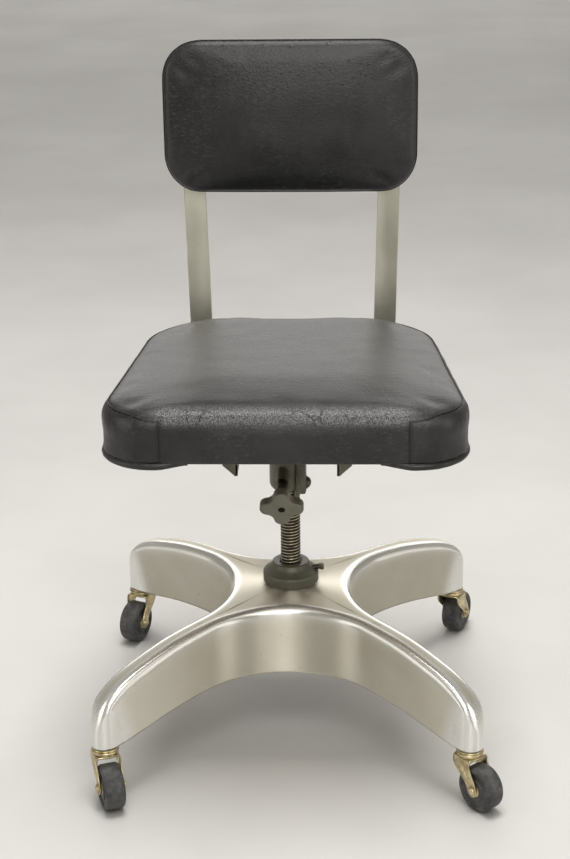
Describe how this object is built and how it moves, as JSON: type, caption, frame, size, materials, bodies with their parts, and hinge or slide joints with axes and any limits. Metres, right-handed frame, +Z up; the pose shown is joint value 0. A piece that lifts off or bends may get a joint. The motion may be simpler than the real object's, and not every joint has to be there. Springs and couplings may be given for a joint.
{
  "type": "swivel work chair",
  "caption": "Low swivel work chair: cast star base on casters, screw height adjuster under a padded seat, sprung tilting back.",
  "frame": {"origin": "on the floor, under the spindle axis", "axes": "+Z up; -Y is the way the sitter faces; +X is right as seen from in front"},
  "size_m": [0.515, 0.5439, 0.866],
  "materials": {
    "cast_aluminium": "brushed satin with polished edges",
    "bar_aluminium": "satin",
    "bearing_steel": "machined",
    "plated_steel": "worn yellow zinc plate",
    "wheel_rubber": "hard rubber, dusty",
    "bush_bronze": "machined",
    "green_grey_paint": "semi-gloss enamel, chipped",
    "knob_paint": "semi-gloss enamel, worn",
    "dark_steel": "oiled dark steel",
    "plywood": "raw ply",
    "black_vinyl": "grained vinyl, soft sheen"
  },
  "bodies": {
    "base": {"base_casting": "cast_aluminium", "stem_sockets": "plated_steel", "socket_tube": "bearing_steel", "lower_race": "bearing_steel"},
    "caster_front_left": {"caster_stem_front_left": "plated_steel", "caster_fork_front_left": "plated_steel", "caster_axle_front_left": "plated_steel"},
    "wheel_front_left": {"wheel_tyre_front_left": "wheel_rubber", "wheel_hub_front_left": "bearing_steel"},
    "caster_front_right": {"caster_stem_front_right": "plated_steel", "caster_fork_front_right": "plated_steel", "caster_axle_front_right": "plated_steel"},
    "wheel_front_right": {"wheel_tyre_front_right": "wheel_rubber", "wheel_hub_front_right": "bearing_steel"},
    "caster_back_left": {"caster_stem_back_left": "plated_steel", "caster_fork_back_left": "plated_steel", "caster_axle_back_left": "plated_steel"},
    "wheel_back_left": {"wheel_tyre_back_left": "wheel_rubber", "wheel_hub_back_left": "bearing_steel"},
    "caster_back_right": {"caster_stem_back_right": "plated_steel", "caster_fork_back_right": "plated_steel", "caster_axle_back_right": "plated_steel"},
    "wheel_back_right": {"wheel_tyre_back_right": "wheel_rubber", "wheel_hub_back_right": "bearing_steel"},
    "swivel": {"guide_bush": "bush_bronze"},
    "hub_nut": {"hub_nut": "green_grey_paint", "hub_set_screw": "green_grey_paint", "upper_race": "bearing_steel", "thrust_balls": "bearing_steel"},
    "seat": {"spindle": "dark_steel", "control_housing": "green_grey_paint", "clamp_bolt": "dark_steel", "lock_screw": "green_grey_paint", "tension_rod": "dark_steel", "tension_nut": "green_grey_paint", "side_plate_left": "green_grey_paint", "side_plate_right": "green_grey_paint", "pivot_shaft": "bearing_steel", "shaft_clips": "bearing_steel", "torsion_springs": "bearing_steel", "seat_bolts": "bearing_steel", "front_glides": "bearing_steel", "seat_board": "plywood", "seat_cushion": "black_vinyl", "seat_welt": "black_vinyl"},
    "tilt_knob": {"tension_knob": "knob_paint"},
    "back_arms": {"back_bar_left": "bar_aluminium", "back_bar_right": "bar_aluminium", "pivot_sleeve_left": "green_grey_paint", "pivot_sleeve_right": "green_grey_paint", "yoke_bar": "green_grey_paint", "yoke_rivets": "bearing_steel"},
    "backrest": {"back_pan": "green_grey_paint", "back_cushion": "black_vinyl", "hinge_brackets": "green_grey_paint", "hinge_pins": "bearing_steel"}
  },
  "joints": [
    {"name": "caster_front_left_swivel", "type": "hinge", "parent": "base", "child": "caster_front_left", "pos_m": [-0.223, -0.223, 0.0766], "axis": [0, 0, 1], "continuous": true},
    {"name": "wheel_front_left_spin", "type": "hinge", "parent": "caster_front_left", "child": "wheel_front_left", "pos_m": [-0.21547, -0.24261, 0.0285], "axis": [0.9336, 0.3584, 0], "continuous": true},
    {"name": "caster_front_right_swivel", "type": "hinge", "parent": "base", "child": "caster_front_right", "pos_m": [0.223, -0.223, 0.0766], "axis": [0, 0, 1], "continuous": true},
    {"name": "wheel_front_right_spin", "type": "hinge", "parent": "caster_front_right", "child": "wheel_front_right", "pos_m": [0.2365, -0.23909, 0.0285], "axis": [0.766, 0.6428, 0], "continuous": true},
    {"name": "caster_back_left_swivel", "type": "hinge", "parent": "base", "child": "caster_back_left", "pos_m": [-0.223, 0.223, 0.0766], "axis": [0, 0, 1], "continuous": true},
    {"name": "wheel_back_left_spin", "type": "hinge", "parent": "caster_back_left", "child": "wheel_back_left", "pos_m": [-0.23121, 0.20367, 0.0285], "axis": [0.9205, -0.3907, 0], "continuous": true},
    {"name": "caster_back_right_swivel", "type": "hinge", "parent": "base", "child": "caster_back_right", "pos_m": [0.223, 0.223, 0.0766], "axis": [0, 0, 1], "continuous": true},
    {"name": "wheel_back_right_spin", "type": "hinge", "parent": "caster_back_right", "child": "wheel_back_right", "pos_m": [0.23187, 0.24203, 0.0285], "axis": [-0.9063, 0.4226, 0], "continuous": true},
    {"name": "seat_swivel", "type": "hinge", "parent": "base", "child": "swivel", "pos_m": [0, 0, 0.191], "axis": [0, 0, 1], "continuous": true},
    {"name": "seat_height", "type": "slide", "parent": "swivel", "child": "seat", "axis": [0, 0, 1], "range_m": [-0.075, 0.025]},
    {"name": "hub_nut_turn", "type": "hinge", "parent": "swivel", "child": "hub_nut", "pos_m": [0, 0, 0.205], "axis": [0, 0, 1], "range_deg": [-2127, 6379]},
    {"name": "back_tilt", "type": "hinge", "parent": "seat", "child": "back_arms", "pos_m": [0, 0.06, 0.4], "axis": [-1, 0, 0], "range_deg": [0, 14], "stiffness_Nm_per_rad": 60, "springref_deg": -8.59},
    {"name": "backrest_tilt", "type": "hinge", "parent": "back_arms", "child": "backrest", "pos_m": [0, 0.2045, 0.776], "axis": [1, 0, 0], "range_deg": [-12, 4]},
    {"name": "tension_knob_turn", "type": "hinge", "parent": "seat", "child": "tilt_knob", "pos_m": [-0.008, -0.082, 0.3272], "axis": [0, 0.9205, 0.3907], "range_deg": [-720, 720]}
  ],
  "couplings": [
    {"joint": "hub_nut_turn", "follows": "seat_height", "rad_per_m": -1484.2}
  ]
}
